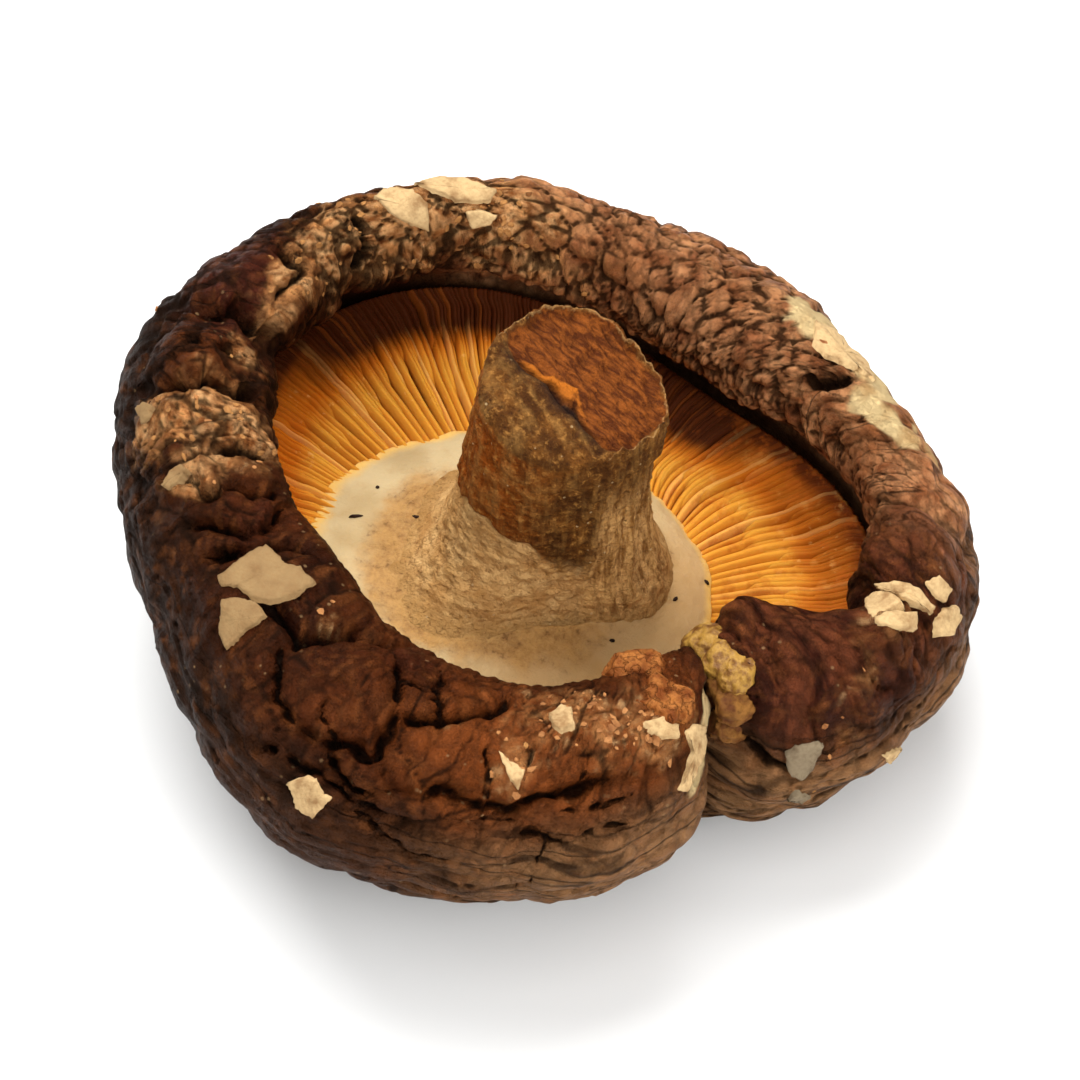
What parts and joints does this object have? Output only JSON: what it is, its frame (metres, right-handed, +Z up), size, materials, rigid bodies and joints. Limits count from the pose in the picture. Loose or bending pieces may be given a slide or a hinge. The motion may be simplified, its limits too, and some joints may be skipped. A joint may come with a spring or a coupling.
{
  "type": "dried shiitake mushroom",
  "caption": "Dried shiitake mushroom lying on its cap: rolled, wrinkled rim with a deep cleft, radial gills, pale veil and a short stem with a slanted cut.",
  "frame": {"origin": "on the surface that the cap lies on, under the middle of the bounding box", "axes": "+Z up, the way the gills and the stem face; +X along the cap's longest way across"},
  "size_m": [0.0546, 0.0526, 0.0284],
  "materials": {
    "cap_skin": "dried brown skin, wrinkled and cracked, slightly glossy",
    "gill_flesh": "thin amber lamellae, satin",
    "veil_felt": "pale cream felt, matt",
    "stem_fibre": "tan to brown fibres, rough and matt"
  },
  "bodies": {
    "root": {"cap": "cap_skin", "gills": "gill_flesh", "veil": "veil_felt", "stem": "stem_fibre"}
  },
  "joints": []
}
